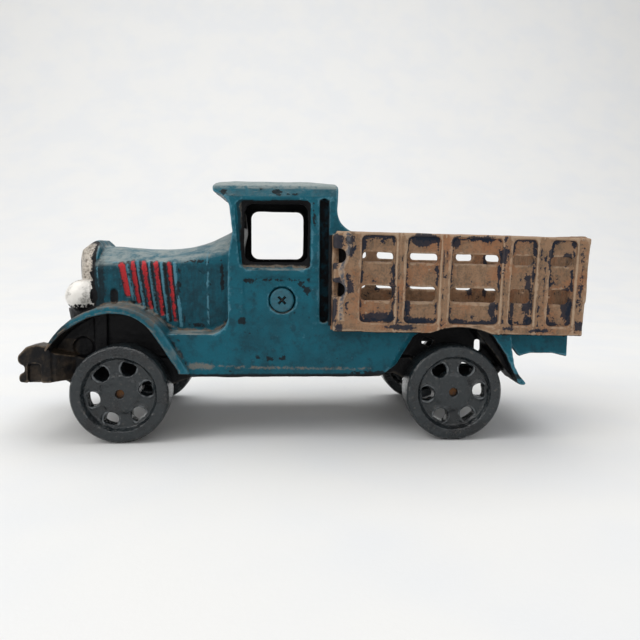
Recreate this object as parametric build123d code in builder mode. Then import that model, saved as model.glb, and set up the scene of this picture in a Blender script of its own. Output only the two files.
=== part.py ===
"""Push-along stake truck: two hollow half castings bolted at the cab, on two wheelsets.

Millimetres. +Z is up, the ground is Z = 0, the nose points to -X, and Y = 0 is the seam between
the left (-Y) and right (+Y) castings. The origin is on the ground, at the middle of the truck.
"""

import os
from math import cos, radians, sin

from build123d import *

# Wheels and axles
wheel_radius = 16.8
wheel_width = 11.5
wheel_face_y = 37.0
wheel_inner_y = wheel_face_y - wheel_width
front_axle_x = -61.5
rear_axle_x = 53.2
axle_z = wheel_radius
axle_radius = 1.5
axle_recess = 2.0
axle_running_gap = 0.06
hub_radius = 6.2
rim_inner_radius = 12.4
hub_recess = 1.5
web_recess = 2.2
web_thickness = 4.0
wheel_holes = 6
hole_radius = 2.45
hole_centre_radius = 9.2
hole_outer_radius = 11.0

# The casting: half widths, measured from the seam
wall = 3.0
nose_half_width = 17.0
cowl_half_width = 23.0
fender_half_width = 33.0
skirt_half_width = 30.6
cab_half_width = 28.4
frame_half_width = 24.3
bumper_half_width = 29.0
horn_inner_half_width = 20.5
rail_inner_half_width = 18.0
rear_wall_outer = 21.0
headlight_radius = 5.8
headlight_place = (-79.0, -14.6, 48.8)
apron_half_width = 27.0
valance_low_z = 32.0
valance_high_z = 44.0
well_wall_half_width = 21.5

# The casting: heights
skirt_z = 21.5
rail_low_z = 20.0
rail_high_z = 27.4
front_rail_low_z = 17.4
rear_rail_low_z = 19.4
rear_rail_high_z = 24.0
roof_z = 91.0
bed_floor_z = 41.5
bed_under_z = 38.5
bed_top_z = 72.3

# Hood louvres
louvres = 5
louvre_depth = 0.8
louvre_pitch = 4.35

# Radiator grille
grille_half_width = 8.4
grille_face_x = -80.4
grille_bar_pitch = 2.4
grille_bar_width = 1.0

# Stake bed
bed_front_x = 10.8
bed_floor_front_x = 13.0
headboard_x = 10.6
bed_rear_x = 97.2
bed_half_width = 36.0
bed_lean = 3.0
bed_droop = 1.2
slat_thickness = 2.4
post_thickness = 1.7
bed_posts = ((13.0, 19.4), (31.0, 34.7), (46.1, 49.9), (67.2, 70.7), (79.1, 84.0), (92.8, 97.0))
upper_slot_z = 64.0
upper_slot_height = 3.2
lower_slot_z = 51.7
lower_slot_height = 5.0
bay_sill = 3.4
bay_lintel = 1.0
corner_notch = 3.5

# Cab window, door, clamp screw and nut
window_x = -8.5
window_z = 71.5
window_width = 22.0
window_height = 20.0
screw_x = -6.6
screw_z = 48.4
screw_radius = 2.0
screw_hole_radius = 2.2
screw_head_radius = 4.2
screw_head_height = 2.0
screw_seat_radius = 4.7
screw_seat_y = 27.6
screw_end_y = 29.2
boss_radius = 5.0
nut_across_flats = 7.0
nut_height = 3.2
nut_seat_y = 25.8
nut_pocket_gap = 0.15

# Locating pegs on the seam
peg_radius = 1.6
peg_length = 3.0
peg_gap = 0.1
peg_places = ((-50.0, 54.0), (86.0, 34.0))


def side_block(outline, half_width, inner=0.0):
    """A block with the given (x, z) outline, from inner to half_width on the left of the seam."""
    with BuildPart() as block:
        with BuildSketch(Plane.XZ.offset(inner)):
            with BuildLine():
                Polyline(*outline, close=True)
            make_face()
        extrude(amount=half_width - inner)
    return block.part


def hood_block(inset):
    """Half of the hood: narrow and low at the nose, wide and rising at the cowl."""
    stations = (
        (-78.0, nose_half_width, 60.2, 66.4),
        (-60.0, 20.2, 61.2, 65.9),
        (-44.0, 22.2, 62.0, 66.0),
        (-34.0, cowl_half_width, 63.5, 68.4),
        (-24.0, cowl_half_width, 66.0, 73.6),
    )
    with BuildPart() as block:
        for x, half_width, shoulder_z, crown_z in stations:
            side = half_width - inset
            shoulder = shoulder_z - inset
            crown = crown_z - inset
            with BuildSketch(Plane.YZ.offset(x)):
                with BuildLine():
                    Polyline((0, crown), (0, skirt_z), (-side, skirt_z), (-side, shoulder - 2.5))
                    ThreePointArc(
                        (-side, shoulder - 2.5),
                        (-side + 0.9, shoulder - 0.6),
                        (-side + 3.0, shoulder + 0.5),
                    )
                    ThreePointArc(
                        (-side + 3.0, shoulder + 0.5),
                        (-side / 2, crown - 0.3 * (crown - shoulder)),
                        (0, crown),
                    )
                make_face()
        loft()
    return block.part


def radiator_block():
    """Half of the radiator shell: an arch across the nose, rounded in plan and at its top."""
    with BuildPart() as block:
        with BuildSketch(Plane.XZ):
            with BuildLine():
                Polyline((-75.6, 68.6), (-74.4, 69.0), (-72.8, 66.0), (-72.8, 33.0))
                Polyline((-72.8, 33.0), (-81.4, 33.0), (-82.2, 45.0), (-81.8, 56.6))
                ThreePointArc((-81.8, 56.6), (-79.8, 63.8), (-75.6, 68.6))
            make_face()
        extrude(amount=nose_half_width)
        with BuildSketch(Plane.XY):
            with BuildLine():
                Polyline((-72.8, 0), (-72.8, -16.9), (-76.4, -16.7))
                ThreePointArc((-76.4, -16.7), (-80.6, -9.0), (-82.2, 0))
                Line((-82.2, 0), (-72.8, 0))
            make_face()
        extrude(amount=100, mode=Mode.INTERSECT)
        with BuildSketch(Plane.YZ.offset(-100)):
            with BuildLine():
                Polyline((0, 69.2), (0, 20.0), (-nose_half_width, 20.0), (-nose_half_width, 59.0))
                ThreePointArc((-nose_half_width, 59.0), (-12.4, 66.2), (0, 69.2))
            make_face()
        extrude(amount=100, mode=Mode.INTERSECT)
    return block.part


def valance_block():
    """Half of the ledge across the nose, under the headlights and over the fenders."""
    with BuildPart() as block:
        with BuildSketch(Plane.XY.offset(valance_high_z)):
            with BuildLine():
                Polyline((-85.4, 0), (-74.0, 0), (-74.0, -18.0))
                ThreePointArc((-74.0, -18.0), (-82.4, -14.6), (-85.4, 0))
            make_face()
        extrude(amount=valance_low_z - valance_high_z)
        with BuildSketch(Plane.XZ):
            with BuildLine():
                Polyline((-86.0, 44.0), (-81.4, 34.0), (-81.4, 31.0), (-90.0, 31.0), (-90.0, 44.0))
                Line((-90.0, 44.0), (-86.0, 44.0))
            make_face()
        extrude(amount=30, mode=Mode.SUBTRACT)
    return block.part


def cab_block():
    """Half of the cab with the skirt below it and the back that sweeps down to the bed."""
    with BuildPart() as block:
        with BuildSketch(Plane.XZ):
            with BuildLine():
                Line((-47.4, 36.7), (-31.5, 36.7))
                ThreePointArc((-31.5, 36.7), (-27.1, 38.5), (-25.3, 42.9))
                Polyline((-25.3, 42.9), (-25.2, 63.9), (-23.8, 71.8), (-24.6, 80.5))
                ThreePointArc((-24.6, 80.5), (-26.2, 83.6), (-29.9, 85.4))
                ThreePointArc((-29.9, 85.4), (-30.6, 87.4), (-29.0, 89.6))
                ThreePointArc((-29.0, 89.6), (-9.0, roof_z + 0.2), (12.3, 88.6))
                Polyline((12.3, 88.6), (13.0, 87.0), (12.6, 80.0))
                ThreePointArc((12.6, 80.0), (13.9, 75.4), (18.0, 72.2))
                Polyline((18.0, 72.2), (18.0, bed_under_z), (45.0, bed_under_z))
                Polyline((45.0, bed_under_z), (39.8, 35.4), (34.6, 25.9))
                Polyline((34.6, 25.9), (28.0, skirt_z), (-38.0, skirt_z), (-41.4, 23.4), (-47.4, 36.7))
            make_face()
        extrude(amount=skirt_half_width)
        with BuildSketch(Plane.YZ.offset(-50)):
            with BuildLine():
                Polyline((0, 0), (-skirt_half_width, 0), (-skirt_half_width, skirt_z))
                Polyline(
                    (-skirt_half_width, skirt_z), (-cab_half_width, 83.6), (-26.0, 88.0)
                )
                ThreePointArc((-26.0, 88.0), (-13.5, 90.3), (0, roof_z))
                Line((0, roof_z), (0, 0))
            make_face()
        extrude(amount=100, mode=Mode.INTERSECT)
    return block.part


def front_arch():
    """The opening over the front wheel, as an (x, z) face closed below the frame."""
    with BuildSketch() as arch:
        with BuildLine():
            ThreePointArc((-86.2, 31.4), (-78.0, 39.3), (-65.5, 44.0))
            ThreePointArc((-65.5, 44.0), (-56.6, 42.3), (-50.6, 36.9))
            Polyline((-50.6, 36.9), (-42.3, 24.0), (-42.3, 10.0), (-86.2, 10.0), (-86.2, 31.4))
        make_face()
    return arch.sketch


def front_fender():
    """The outside of the front fender: thin over the bumper, deeper over the wheel and behind it."""
    with BuildSketch() as fender:
        with BuildLine():
            ThreePointArc((-87.3, 31.2), (-79.3, 41.0), (-65.5, 46.5))
            ThreePointArc((-65.5, 46.5), (-55.0, 44.5), (-47.0, 37.6))
            Polyline((-47.0, 37.6), (-38.2, 23.0), (-38.2, 10.0), (-84.0, 10.0))
            Polyline((-84.0, 10.0), (-84.0, 30.4), (-87.3, 31.2))
        make_face()
    return fender.sketch


def arch_block(face, inner, outer, low_z):
    """The part of an arch face above low_z, as a block between two distances from the seam."""
    with BuildPart() as block:
        with BuildSketch(Plane.XZ.offset(inner)):
            add(face)
            with Locations((0, low_z - 50)):
                Rectangle(400, 100, mode=Mode.SUBTRACT)
        extrude(amount=outer - inner)
    return block.part


def rear_arch_block(inner, outer, bottom_z):
    """The space round a rear wheel: from behind the skirt, under the bed, to the rear fender."""
    with BuildPart() as block:
        with BuildSketch(Plane.XZ.offset(inner)):
            with BuildLine():
                Polyline((66.8, 36.6), (71.8, 29.7), (76.8, 19.0), (76.8, bottom_z))
                Polyline((76.8, bottom_z), (26.0, bottom_z), (26.0, 20.0), (34.2, 25.9), (39.8, 35.4))
                ThreePointArc((39.8, 35.4), (53.2, 39.7), (66.8, 36.6))
            make_face()
        extrude(amount=outer - inner)
    return block.part


def rear_fender_block():
    """The blade behind the rear wheel, with its flared tip."""
    with BuildPart() as block:
        with BuildSketch(Plane.XZ.offset(19.0)):
            with BuildLine():
                Polyline((66.8, 38.6), (66.8, 36.6), (71.8, 29.7), (76.2, 20.2))
                ThreePointArc((76.2, 20.2), (77.6, 18.9), (79.8, 19.2))
                Polyline((79.8, 19.2), (77.3, 22.2), (75.3, 25.7), (74.4, 30.1))
                Polyline((74.4, 30.1), (73.6, 38.6), (66.8, 38.6))
            make_face()
        extrude(amount=fender_half_width + 0.6 - 19.0)
    return block.part


def lug_block(x, top_half_length, top_z):
    """A tapered lug that carries an axle, hanging from the frame rail down round the axle hole."""
    with BuildPart() as block:
        with BuildSketch(Plane.XZ.offset(rail_inner_half_width)):
            with BuildLine():
                Polyline(
                    (x - 4.4, axle_z),
                    (x + 4.4, axle_z),
                    (x + top_half_length, top_z),
                    (x - top_half_length, top_z),
                    close=True,
                )
            make_face()
            with Locations((x, axle_z)):
                Circle(5.0)
        extrude(amount=frame_half_width - rail_inner_half_width)
    return block.part


def bed_side():
    """One side of the stake bed: thin slats behind six raised posts and a bottom rail."""
    lean = radians(bed_lean)
    droop = radians(bed_droop)
    along = (cos(droop), 0, -sin(droop))
    face = Plane(
        origin=(bed_front_x, -bed_half_width, bed_under_z),
        x_dir=along,
        z_dir=(0, -cos(lean), -sin(lean)),
    )
    height = bed_top_z - bed_under_z
    bay_height = height - bay_sill - bay_lintel
    length = (bed_rear_x - bed_front_x) / cos(droop)
    with BuildPart() as side:
        with BuildSketch(face.offset(-slat_thickness)):
            Rectangle(length, height, align=(Align.MIN, Align.MIN))
        extrude(amount=slat_thickness + post_thickness)
        # the bays between the posts go back to the slats and are open at the top
        with BuildSketch(face):
            for (_, low_x), (high_x, _) in zip(bed_posts[:-1], bed_posts[1:]):
                middle = (low_x + high_x) / 2 - bed_front_x
                with Locations((middle, bay_sill + bay_height / 2)):
                    RectangleRounded(high_x - low_x, bay_height, 1.6)
        extrude(amount=post_thickness + 1, mode=Mode.SUBTRACT)
        # two rows of long slots between the slats
        rows = ((upper_slot_z, upper_slot_height), (lower_slot_z, lower_slot_height))
        with BuildSketch(face.offset(-slat_thickness - 1)):
            for slot_z, slot_height in rows:
                for (_, low_x), (high_x, _) in zip(bed_posts[:-1], bed_posts[1:]):
                    middle = (low_x + high_x) / 2 - bed_front_x
                    with Locations((middle, slot_z - bed_under_z)):
                        RectangleRounded(high_x - low_x - 1.0, slot_height, 1.3)
        extrude(amount=slat_thickness + 2, mode=Mode.SUBTRACT)
        # notches where the slots run out through the front corner
        with BuildSketch(face.offset(-slat_thickness - 1)):
            with Locations((0, upper_slot_z - bed_under_z), (0, lower_slot_z + 1 - bed_under_z)):
                RectangleRounded(2 * corner_notch, 4.8, 1.9)
        extrude(amount=slat_thickness + post_thickness + 2, mode=Mode.SUBTRACT)
    return side.part


def bed_end(x, thickness, inner, outer, slots):
    """A headboard or tailgate half: a plate across the truck, with (y, z, width, height) slots."""
    with BuildPart() as end:
        with BuildSketch(Plane.YZ.offset(x)):
            lean_out = (bed_top_z - bed_under_z) * sin(radians(bed_lean))
            with BuildLine():
                Polyline(
                    (-inner, bed_under_z),
                    (-outer, bed_under_z),
                    (-outer - lean_out, bed_top_z - 1.2),
                    (-inner, bed_top_z - 1.2),
                    close=True,
                )
            make_face()
            for slot_y, slot_z, slot_width, slot_height in slots:
                with Locations((-slot_y, slot_z)):
                    Rectangle(slot_width, slot_height, mode=Mode.SUBTRACT)
        extrude(amount=thickness)
    return end.part


def bumper_block():
    """The front bar with two ribs, and the frame horn that carries it back to the fender."""
    with BuildPart() as block:
        with BuildSketch(Plane.XZ):
            with BuildLine():
                Polyline((-84.8, 28.6), (-87.0, 32.0), (-91.2, 32.8), (-94.4, 32.0), (-97.0, 29.2))
                ThreePointArc((-97.0, 29.2), (-97.4, 27.4), (-95.3, 25.6))
                Line((-95.3, 25.6), (-95.3, 23.2))
                ThreePointArc((-95.3, 23.2), (-97.3, 21.6), (-96.8, 19.7))
                Polyline((-96.8, 19.7), (-93.6, 19.2), (-84.8, 19.6), (-84.8, 28.6))
            make_face()
        extrude(amount=bumper_half_width)
        # the recess between the bar's end and the frame horn
        with BuildSketch(Plane.XZ.offset(bumper_half_width - 2.2)):
            with Locations((-91.9, 22.2)):
                RectangleRounded(4.4, 8.4, 1.0)
        extrude(amount=5, mode=Mode.SUBTRACT)
        # between the horns the bar stands alone, and lower
        with BuildSketch(Plane.XZ):
            with BuildLine():
                Polyline((-92.6, 15), (-92.6, 28.4), (-99, 28.4), (-99, 40))
                Polyline((-99, 40), (-80, 40), (-80, 15), (-92.6, 15))
            make_face()
        extrude(amount=horn_inner_half_width, mode=Mode.SUBTRACT)
    return block.part


def horn_block():
    """The frame horn behind the bumper: as wide as the bar in front and tapering back to the rail."""
    horn_half_width = bumper_half_width - 0.8
    with BuildPart() as block:
        with BuildSketch(Plane.XY):
            with BuildLine():
                Polyline((-88.0, -rail_inner_half_width), (-88.0, -horn_half_width))
                Polyline((-88.0, -horn_half_width), (-85.0, -horn_half_width), (-79.0, -frame_half_width))
                Polyline((-79.0, -frame_half_width), (-76.0, -frame_half_width))
                Polyline((-76.0, -frame_half_width), (-76.0, -rail_inner_half_width))
                Line((-76.0, -rail_inner_half_width), (-88.0, -rail_inner_half_width))
            make_face()
        extrude(amount=40)
        with BuildSketch(Plane.XZ):
            with BuildLine():
                Polyline((-88.0, 19.7), (-88.0, 30.6), (-76.0, rail_high_z), (-76.0, 19.7), close=True)
            make_face()
        extrude(amount=bumper_half_width, mode=Mode.INTERSECT)
    return block.part


def half_casting():
    """The left half of the truck's body, before its screw, nut and peg details."""
    arch = front_arch()
    apron = ((73.0, 39.0), (75.2, 33.0), (79.3, 28.0), (83.0, 29.2))
    apron += ((91.0, 29.2), (96.8, 28.0), (96.8, 39.0))
    with BuildPart() as half:
        # outer forms
        add(hood_block(0))
        add(radiator_block())
        add(valance_block())
        add(arch_block(front_fender(), 0, fender_half_width, 23.0))
        add(cab_block())
        add(bumper_block())
        with Locations(headlight_place):
            Sphere(headlight_radius)
        add(side_block(apron, apron_half_width))
        add(rear_fender_block())

        # hollows: the cores that leave a wall all round
        add(hood_block(wall), mode=Mode.SUBTRACT)
        under_hood = ((-84.4, 12), (-84.4, 29.6), (-77, 37.4), (-70, 42), (-40, 42), (-36, 12))
        add(side_block(under_hood, well_wall_half_width - wall), mode=Mode.SUBTRACT)
        cab_core = ((-22.2, 12), (-22.2, 66), (-20.8, 72), (-22, 82), (-20, 86))
        cab_core += ((9, 86), (9, 74), (9, 35.5), (22, 35.5), (22, 12))
        add(side_block(cab_core, cab_half_width - wall), mode=Mode.SUBTRACT)
        sill_core = ((-34, 12), (-34, 33.5), (45, 35.5), (45, 12))
        add(side_block(sill_core, skirt_half_width - wall), mode=Mode.SUBTRACT)
        apron_core = ((77, 15), (77, 36.2), (93.5, 36.2), (93.5, 15))
        add(side_block(apron_core, apron_half_width - wall), mode=Mode.SUBTRACT)

        # wheel wells
        add(arch_block(arch, well_wall_half_width, 60, 5), mode=Mode.SUBTRACT)
        add(rear_arch_block(0, 60, 5), mode=Mode.SUBTRACT)

        # bevel down the rear edge of the skirt
        skirt_edge = Plane(origin=(37.2, -28.9, 30.6), x_dir=(5.2, 0, 9.5), z_dir=(0.52, -1, -0.28))
        with BuildSketch(skirt_edge):
            Rectangle(26.0, 16.0)
        extrude(amount=6, mode=Mode.SUBTRACT)

        # frame rails, the horns at their front, the roots of the rear fenders, and the front well's rib
        rail = ((-88.0, rail_low_z), (-88.0, 29.6), (-82.0, 28.4), (-76.0, rail_high_z))
        rail += ((40.0, rail_high_z), (46.0, rear_rail_high_z), (74.5, rear_rail_high_z), (74.5, 23.0))
        rail += ((71.0, rear_rail_low_z), (38.0, rear_rail_low_z), (34.0, skirt_z), (-36.0, skirt_z))
        rail += ((-46.0, front_rail_low_z), (-80.0, front_rail_low_z), (-84.0, rail_low_z))
        add(side_block(rail, frame_half_width, rail_inner_half_width))
        add(horn_block())
        fender_root = ((62.5, 38.6), (62.5, 37.2), (66.5, 32.5), (70.5, 27.5), (76.2, 20.2))
        fender_root += ((74.2, 30.0), (73.6, 38.6))
        add(side_block(fender_root, fender_half_width - 3.0, rail_inner_half_width))
        rib = ((-72.7, 26), (-72.7, 43), (-68.2, 43.5), (-68.2, 26))
        add(side_block(rib, well_wall_half_width + 1.8, well_wall_half_width - 1.0))
        with BuildSketch(Plane.XZ.offset(well_wall_half_width - 1.6)):
            with Locations((-77.2, 31.0)):
                Circle(3.6)
        extrude(amount=1.6, mode=Mode.SUBTRACT)

        # stake bed
        floor = ((bed_floor_front_x, bed_under_z), (96.5, bed_under_z))
        floor += ((96.5, bed_floor_z), (bed_floor_front_x, bed_floor_z))
        add(side_block(floor, bed_half_width - 0.5))
        corner_slots = tuple((39.2, z, 21.6, 4.8) for z in (upper_slot_z, lower_slot_z + 1))
        add(bed_side())
        add(bed_end(headboard_x, bed_floor_front_x - headboard_x, 24.0, bed_half_width + 1.2, corner_slots))
        add(bed_end(headboard_x, bed_floor_front_x - headboard_x, 0, 30.0, ()))
        tail_slots = ((13.2, 50.4, 4.4, 3.6),)
        add(bed_end(bed_rear_x - 3.0, 2.6, 0, bed_half_width, tail_slots))
        rear_arch_cap = rear_arch_block(30.0, 60, 5)
        add(rear_arch_cap, mode=Mode.SUBTRACT)

        # inner walls of the rear wells, hung from the bed, each with two small holes
        well_wall = ((30.0, 27.0), (30.0, 39.5), (73.8, 39.5), (74.4, 30.0), (74.0, 22.6))
        well_wall += ((65.6, 22.6), (65.6, 27.0))
        add(side_block(well_wall, rear_wall_outer, rail_inner_half_width))
        with BuildSketch(Plane.XZ.offset(rail_inner_half_width)):
            with Locations((46.9, 32.4)):
                Rectangle(4.2, 2.8, rotation=-20)
            with Locations((65.6, 31.0)):
                Rectangle(2.6, 4.6)
        extrude(amount=rear_wall_outer - rail_inner_half_width, mode=Mode.SUBTRACT)

        # axle lugs
        add(lug_block(front_axle_x, 7.0, rail_high_z - 2))
        add(lug_block(rear_axle_x, 7.0, rear_rail_high_z - 1))
        with BuildSketch(Plane.XZ):
            with Locations((front_axle_x, axle_z), (rear_axle_x, axle_z)):
                Circle(axle_radius + axle_running_gap)
        extrude(amount=60, mode=Mode.SUBTRACT)

        # side window with its sunk surround, and half of the windscreen and rear window
        with BuildSketch(Plane.XZ):
            with Locations((window_x, window_z)):
                RectangleRounded(window_width, window_height, 3.0)
        extrude(amount=60, mode=Mode.SUBTRACT)
        for depth, front_x, low_front_x, rear_x, low_z, high_z, corner in (
            (0.8, -22.9, -21.0, 3.4, 59.0, 83.0, 3.4),
            (1.6, -21.5, -20.3, 3.0, 60.2, 82.2, 2.8),
        ):
            with BuildSketch(Plane.XZ.offset(cab_half_width - depth)):
                with BuildLine():
                    Polyline((front_x, high_z), (low_front_x, low_z), (rear_x, low_z), (rear_x, high_z))
                    Line((rear_x, high_z), (front_x, high_z))
                make_face()
                fillet(vertices(), corner)
            extrude(amount=5, mode=Mode.SUBTRACT)
        with BuildSketch(Plane.YZ.offset(-40)):
            with Locations((0, 78.4)):
                RectangleRounded(40.0, 8.4, 2.0)
        extrude(amount=25, mode=Mode.SUBTRACT)
        with BuildSketch(Plane.YZ.offset(0)):
            with Locations((0, 79.6)):
                RectangleRounded(20.0, 7.0, 2.0)
        extrude(amount=20, mode=Mode.SUBTRACT)

        # the groove between the cab and the bed
        with BuildSketch(Plane.XZ.offset(cab_half_width - 2.6)):
            with Locations((8.1, 62.0)):
                SlotCenterToCenter(40.0, 3.0, rotation=90)
        extrude(amount=10, mode=Mode.SUBTRACT)

        # door panel, sunk at its top and running out at its foot
        with BuildSketch(Plane.YZ.offset(-20)):
            with BuildLine():
                Polyline((-29.75, 39.0), (-28.75, 56.4), (-32.0, 56.4), (-32.0, 39.0), close=True)
            make_face()
        extrude(amount=23.6, mode=Mode.SUBTRACT)

        # louvres: slanted strips sunk in the hood side
        hood_side = Plane(origin=(-60.0, -20.2, 0), x_dir=(16.0, -2.0, 0), z_dir=(-2.0, -16.0, 0))
        for number in range(louvres):
            top = louvre_pitch * number - 2.2
            foot_z = 48.6 - 2.1 * number
            with BuildSketch(hood_side.offset(-louvre_depth)):
                with BuildLine():
                    Polyline((top - 2.4, 60.6), (top, 60.6), (top + 2.1, foot_z))
                    Polyline((top + 2.1, foot_z), (top - 0.2, foot_z), (top - 2.4, 60.6))
                make_face()
            extrude(amount=5, mode=Mode.SUBTRACT)

        # short slot ahead of the louvres
        with BuildSketch(hood_side.offset(-louvre_depth)):
            with Locations((-6.6, 48.8)):
                RectangleRounded(2.6, 5.4, 1.0)
        extrude(amount=5, mode=Mode.SUBTRACT)

        # radiator grille: upright bars in front of a sunk face
        with BuildSketch(Plane.YZ.offset(-95)):
            with BuildLine():
                Polyline((0, 63.6), (0, 46.0), (-grille_half_width, 46.0), (-grille_half_width, 57.4))
                ThreePointArc((-grille_half_width, 57.4), (-5.6, 62.2), (0, 63.6))
            make_face()
            with Locations(*((-grille_bar_pitch * bar, 55) for bar in range(4))):
                Rectangle(grille_bar_width, 30, mode=Mode.SUBTRACT)
        extrude(amount=95 + grille_face_x, mode=Mode.SUBTRACT)

        # clamp-screw boss and its hole
        with BuildSketch(Plane.XZ):
            with Locations((screw_x, screw_z)):
                Circle(boss_radius)
        extrude(amount=28.0)
        with BuildSketch(Plane.XZ):
            with Locations((screw_x, screw_z)):
                Circle(screw_hole_radius)
        extrude(amount=60, mode=Mode.SUBTRACT)

        # pillars that carry the locating pegs
        with BuildSketch(Plane.XZ):
            with Locations(*peg_places):
                Circle(3.6)
        extrude(amount=20.0)
    return half.part


def wheel(axle_x, side, turn):
    """A one-piece cast wheel: rim and tread, sunk web with six D-shaped holes, hub with a bore."""
    outer = side * wheel_face_y
    inner = side * wheel_inner_y
    web_outer = side * (wheel_face_y - web_recess)
    web_inner = side * (wheel_face_y - web_recess - web_thickness)
    hub_outer = side * (wheel_face_y - hub_recess)
    section = Plane(origin=(axle_x, 0, axle_z), x_dir=(0, 1, 0), z_dir=(1, 0, 0))
    face = Plane(origin=(axle_x, 60, axle_z), x_dir=(1, 0, 0), z_dir=(0, -1, 0))
    with BuildPart() as cast_wheel:
        with BuildSketch(section):
            with BuildLine():
                Polyline(
                    (inner, axle_radius),
                    (inner, hub_radius - 0.8),
                    (web_inner, hub_radius + 0.4),
                    (web_inner, rim_inner_radius - 0.4),
                    (inner, rim_inner_radius + 0.6),
                    (inner, wheel_radius - 1.0),
                    (inner + side * 1.0, wheel_radius - 0.2),
                    (outer - side * 3.0, wheel_radius),
                    (outer - side * 0.8, wheel_radius - 0.2),
                    (outer, wheel_radius - 0.9),
                    (outer, rim_inner_radius + 0.5),
                    (web_outer, rim_inner_radius - 0.6),
                    (web_outer, hub_radius + 1.2),
                    (hub_outer, hub_radius - 0.4),
                    (hub_outer, axle_radius),
                    close=True,
                )
            make_face()
        revolve(axis=Axis((axle_x, 0, axle_z), (0, 1, 0)))
        with BuildSketch(face):
            with PolarLocations(hole_centre_radius, wheel_holes, start_angle=turn):
                Circle(hole_radius)
                Rectangle(hole_radius, 2 * hole_radius, align=(Align.MIN, Align.CENTER))
            Circle(hole_outer_radius, mode=Mode.INTERSECT)
        extrude(amount=120, mode=Mode.SUBTRACT)
    return cast_wheel.part


def axle(axle_x):
    """A plain steel rod that ends just inside the faces of its two wheels' hubs."""
    half_length = wheel_face_y - hub_recess - axle_recess
    with BuildPart() as rod:
        with BuildSketch(Plane.XZ.offset(-half_length)):
            with Locations((axle_x, axle_z)):
                Circle(axle_radius)
        extrude(amount=2 * half_length)
    return rod.part


casting = half_casting()

with BuildPart() as left_body_half:
    add(casting)
    # the round seat that the screw's head sits in
    with BuildSketch(Plane.XZ.offset(screw_seat_y)):
        with Locations((screw_x, screw_z)):
            Circle(screw_seat_radius)
    extrude(amount=10, mode=Mode.SUBTRACT)
    # pegs that reach across the seam
    with BuildSketch(Plane.XZ):
        with Locations(*peg_places):
            Circle(peg_radius)
    extrude(amount=-peg_length)

with BuildPart() as right_body_half:
    add(mirror(casting, about=Plane.XZ))
    # the pocket that keeps the nut from turning
    with BuildSketch(Plane.XZ.offset(-nut_seat_y)):
        with Locations((screw_x, screw_z)):
            RegularPolygon(nut_across_flats / 2 + nut_pocket_gap, 6, major_radius=False)
    extrude(amount=-10, mode=Mode.SUBTRACT)
    # sockets for the pegs
    with BuildSketch(Plane.XZ):
        with Locations(*peg_places):
            Circle(peg_radius + peg_gap)
    extrude(amount=-peg_length - 0.5, mode=Mode.SUBTRACT)

with BuildPart() as cab_screw:
    with BuildSketch(Plane.XZ.offset(screw_seat_y)):
        with Locations((screw_x, screw_z)):
            Circle(screw_head_radius)
    extrude(amount=screw_head_height)
    fillet(cab_screw.edges().sort_by(Axis.Y)[0], 0.8)
    with BuildSketch(Plane.XZ.offset(screw_seat_y)):
        with Locations((screw_x, screw_z)):
            Circle(screw_radius)
    extrude(amount=-screw_seat_y - screw_end_y)
    # cross recess
    with BuildSketch(Plane.XZ.offset(screw_seat_y + screw_head_height)):
        with Locations((screw_x, screw_z)):
            Rectangle(3.6, 0.9, rotation=45)
            Rectangle(3.6, 0.9, rotation=135)
    extrude(amount=-1.5, taper=12, mode=Mode.SUBTRACT)

with BuildPart() as cab_nut:
    with BuildSketch(Plane.XZ.offset(-nut_seat_y)):
        with Locations((screw_x, screw_z)):
            RegularPolygon(nut_across_flats / 2, 6, major_radius=False)
            Circle(screw_radius, mode=Mode.SUBTRACT)
    extrude(amount=-nut_height)
    chamfer(cab_nut.edges().sort_by(Axis.Y)[-7:].filter_by(GeomType.LINE), 0.3)

pieces = {
    "left_body_half": left_body_half.part,
    "right_body_half": right_body_half.part,
    "cab_screw": cab_screw.part,
    "cab_nut": cab_nut.part,
    "front_axle": axle(front_axle_x),
    "rear_axle": axle(rear_axle_x),
    "front_left_wheel": wheel(front_axle_x, -1, 11),
    "front_right_wheel": wheel(front_axle_x, 1, 35),
    "rear_left_wheel": wheel(rear_axle_x, -1, 3),
    "rear_right_wheel": wheel(rear_axle_x, 1, 12),
}

os.makedirs("parts", exist_ok=True)
for name, piece in pieces.items():
    piece.label = name
    export_step(piece, f"parts/{name}.step")
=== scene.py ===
"""Looks of the push-along stake truck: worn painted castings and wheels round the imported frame.

Blender works in metres. Sizes and places written here are in millimetres, in the row frame: the nose
points to -X, the left side is -Y, and the ground is Z = 0.
"""

import math

import bmesh
import bpy
import numpy as np
from mathutils import Matrix, Vector, noise
from mathutils.bvhtree import BVHTree


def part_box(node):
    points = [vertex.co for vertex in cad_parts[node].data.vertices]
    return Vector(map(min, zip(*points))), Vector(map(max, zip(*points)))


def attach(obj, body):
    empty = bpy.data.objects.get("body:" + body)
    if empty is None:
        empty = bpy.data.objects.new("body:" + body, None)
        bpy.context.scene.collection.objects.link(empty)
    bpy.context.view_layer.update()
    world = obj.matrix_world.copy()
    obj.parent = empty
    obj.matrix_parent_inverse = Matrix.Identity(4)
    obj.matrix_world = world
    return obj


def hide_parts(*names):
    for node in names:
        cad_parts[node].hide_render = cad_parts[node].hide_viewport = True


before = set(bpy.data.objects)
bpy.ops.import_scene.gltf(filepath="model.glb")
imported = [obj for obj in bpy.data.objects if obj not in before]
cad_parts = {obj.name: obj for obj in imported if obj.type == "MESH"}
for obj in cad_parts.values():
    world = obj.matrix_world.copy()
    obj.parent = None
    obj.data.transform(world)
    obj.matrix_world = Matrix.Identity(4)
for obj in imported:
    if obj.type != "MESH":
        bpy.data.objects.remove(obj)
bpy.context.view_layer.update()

MM = 0.001

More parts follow.
